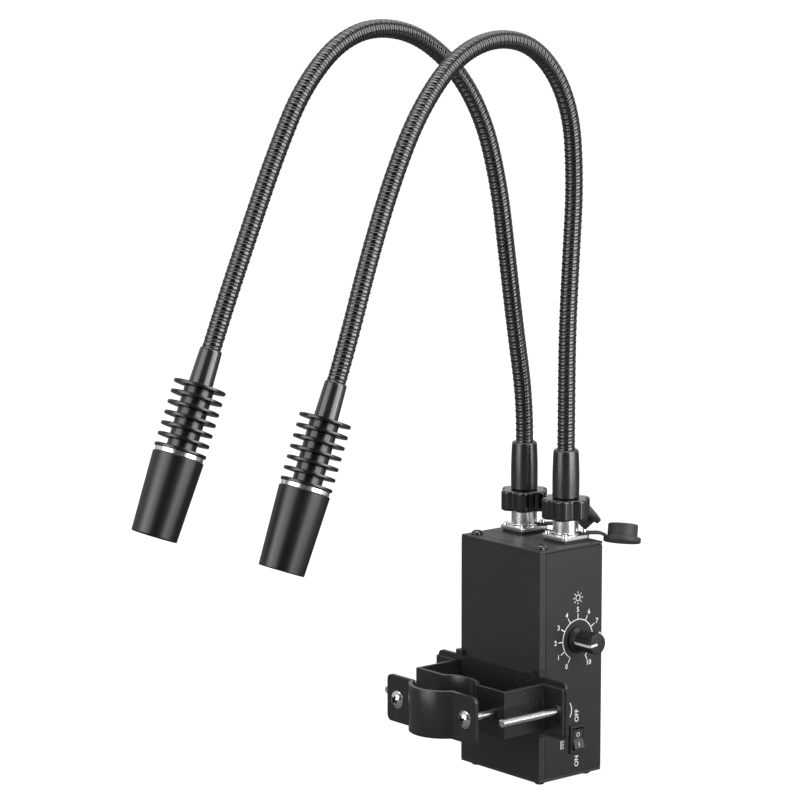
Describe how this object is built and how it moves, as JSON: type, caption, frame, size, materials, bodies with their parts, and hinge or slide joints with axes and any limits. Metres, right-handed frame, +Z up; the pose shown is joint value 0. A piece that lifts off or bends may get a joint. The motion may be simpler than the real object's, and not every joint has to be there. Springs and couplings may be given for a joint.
{
  "type": "dual gooseneck illuminator",
  "caption": "Bench illuminator: a dimmable control box on a post clamp carries plug-in gooseneck spot lamps with finned heads and long shrouds.",
  "frame": {"origin": "on the axis of the clamped post, at the middle height of the clamp", "axes": "+X is the outward normal of the dial panel, -Y points from the case towards the post and the lamp heads, +Z is up; left means towards -X, right towards +X"},
  "size_m": [0.1199, 0.3047, 0.3887],
  "materials": {
    "case": "satin black anodised",
    "panel": "finely brushed, black anodised",
    "plate": "satin black anodised",
    "black_steel": "semi-gloss black",
    "black_screw": "black oxide",
    "bright_screw": "bright nickel plated",
    "chrome": "polished",
    "gloss_black": "polished black",
    "plug": "matte black",
    "insert": "dark moulded",
    "neck": "semi-gloss black",
    "heat_sink": "satin black anodised",
    "shroud": "matte dark grey",
    "led": "white board with a pale emitter",
    "lens": "clear",
    "knob": "satin black",
    "white": "white",
    "switch": "satin black",
    "rocker": "semi-gloss dark grey",
    "jack": "black",
    "steel": "zinc plated",
    "board": "green board",
    "rubber": "matte dark grey"
  },
  "bodies": {
    "base": {"housing": "case", "front_panel": "panel", "top_plate": "plate", "bottom_plate": "plate", "case_screws": "black_screw", "circuit_board": "board", "potentiometer": "steel", "switch_frame": "switch", "dc_jack": "jack", "carrier_plate": "black_steel", "carrier_screws": "black_screw", "hat_bracket": "black_steel", "long_screws": "bright_screw", "clamp_nuts": "bright_screw", "left_socket": "chrome", "right_socket": "chrome", "socket_inserts": "insert", "socket_screws": "bright_screw", "left_plug": "plug", "right_plug": "plug", "left_sleeve": "gloss_black", "right_sleeve": "gloss_black", "left_tie": "rubber", "right_tie": "rubber"},
    "knob": {"dimmer_shaft": "steel", "dimmer_knob": "knob", "knob_pointer": "white"},
    "switch_rocker": {"rocker": "rocker"},
    "strap": {"saddle": "black_steel", "clamp_screws": "bright_screw"},
    "left_nut": {"left_star_nut": "gloss_black"},
    "right_nut": {"right_star_nut": "gloss_black"},
    "left_link_1": {"left_neck_1": "neck"},
    "left_link_2": {"left_neck_2": "neck"},
    "left_link_3": {"left_neck_3": "neck"},
    "left_link_4": {"left_neck_4": "neck"},
    "left_link_5": {"left_neck_5": "neck"},
    "left_link_6": {"left_neck_6": "neck", "left_stem": "gloss_black", "left_heat_sink": "heat_sink", "left_collar": "chrome", "left_led": "led", "left_lens": "lens", "left_shroud": "shroud"},
    "left_cap": {"left_dust_cap": "rubber"},
    "right_link_1": {"right_neck_1": "neck"},
    "right_link_2": {"right_neck_2": "neck"},
    "right_link_3": {"right_neck_3": "neck"},
    "right_link_4": {"right_neck_4": "neck"},
    "right_link_5": {"right_neck_5": "neck"},
    "right_link_6": {"right_neck_6": "neck", "right_stem": "gloss_black", "right_heat_sink": "heat_sink", "right_collar": "chrome", "right_led": "led", "right_lens": "lens", "right_shroud": "shroud"},
    "right_cap": {"right_dust_cap": "rubber"}
  },
  "joints": [
    {"name": "dimmer_turn", "type": "hinge", "parent": "base", "child": "knob", "pos_m": [0.027, 0.0662, 0.0293], "axis": [1, 0, 0], "range_deg": [-246, 54]},
    {"name": "switch_rock", "type": "hinge", "parent": "base", "child": "switch_rocker", "pos_m": [0.0264, 0.0657, -0.0226], "axis": [0, 1, 0], "range_deg": [0, 20]},
    {"name": "strap_slide", "type": "slide", "parent": "base", "child": "strap", "axis": [0, -1, 0], "range_m": [0, 0.006]},
    {"name": "right_nut_turn", "type": "hinge", "parent": "base", "child": "right_nut", "pos_m": [0.01275, 0.0705, 0.095], "axis": [0, 0, 1], "continuous": true},
    {"name": "left_nut_turn", "type": "hinge", "parent": "base", "child": "left_nut", "pos_m": [-0.01875, 0.0705, 0.095], "axis": [0, 0, 1], "continuous": true},
    {"name": "right_swing", "type": "hinge", "parent": "base", "child": "right_link_1", "pos_m": [0.01275, 0.0705, 0.127], "axis": [0, 0, 1], "range_deg": [-8, 60]},
    {"name": "right_bend_1", "type": "hinge", "parent": "right_link_1", "child": "right_link_2", "pos_m": [0.01227, 0.07228, 0.20362], "axis": [0.9659, 0.2588, 0], "range_deg": [-18, 10]},
    {"name": "right_bend_2", "type": "hinge", "parent": "right_link_2", "child": "right_link_3", "pos_m": [0.01162, 0.0747, 0.28008], "axis": [0.9659, 0.2588, 0], "range_deg": [-18, 10]},
    {"name": "right_bend_3", "type": "hinge", "parent": "right_link_3", "child": "right_link_4", "pos_m": [0.02437, 0.02712, 0.33239], "axis": [0.9659, 0.2588, 0], "range_deg": [-18, 10]},
    {"name": "right_bend_4", "type": "hinge", "parent": "right_link_4", "child": "right_link_5", "pos_m": [0.04304, -0.04253, 0.31508], "axis": [0.9659, 0.2588, 0], "range_deg": [-18, 10]},
    {"name": "right_bend_5", "type": "hinge", "parent": "right_link_5", "child": "right_link_6", "pos_m": [0.05489, -0.08678, 0.25428], "axis": [0.9659, 0.2588, 0], "range_deg": [-18, 10]},
    {"name": "left_swing", "type": "hinge", "parent": "base", "child": "left_link_1", "pos_m": [-0.01875, 0.0705, 0.127], "axis": [0, 0, 1], "range_deg": [-60, 8]},
    {"name": "left_bend_1", "type": "hinge", "parent": "left_link_1", "child": "left_link_2", "pos_m": [-0.01676, 0.0592, 0.20265], "axis": [0.9848, 0.1736, 0], "range_deg": [-18, 10]},
    {"name": "left_bend_2", "type": "hinge", "parent": "left_link_2", "child": "left_link_3", "pos_m": [-0.01377, 0.04224, 0.27723], "axis": [0.9848, 0.1736, 0], "range_deg": [-18, 10]},
    {"name": "left_bend_3", "type": "hinge", "parent": "left_link_3", "child": "left_link_4", "pos_m": [-0.00498, -0.00761, 0.33224], "axis": [0.9848, 0.1736, 0], "range_deg": [-18, 10]},
    {"name": "left_bend_4", "type": "hinge", "parent": "left_link_4", "child": "left_link_5", "pos_m": [0.00771, -0.07953, 0.32832], "axis": [0.9848, 0.1736, 0], "range_deg": [-18, 10]},
    {"name": "left_bend_5", "type": "hinge", "parent": "left_link_5", "child": "left_link_6", "pos_m": [0.01561, -0.12437, 0.26758], "axis": [0.9848, 0.1736, 0], "range_deg": [-18, 10]},
    {"name": "right_cap_flex", "type": "hinge", "parent": "base", "child": "right_cap", "pos_m": [0.02316, 0.08238, 0.0819], "axis": [0.809, -0.5878, 0], "range_deg": [-12, 75], "stiffness_Nm_per_rad": 0.02},
    {"name": "left_cap_flex", "type": "hinge", "parent": "base", "child": "left_cap", "pos_m": [-0.00806, 0.08217, 0.0819], "axis": [0.7771, -0.6293, 0], "range_deg": [-40, 35], "stiffness_Nm_per_rad": 0.02}
  ]
}
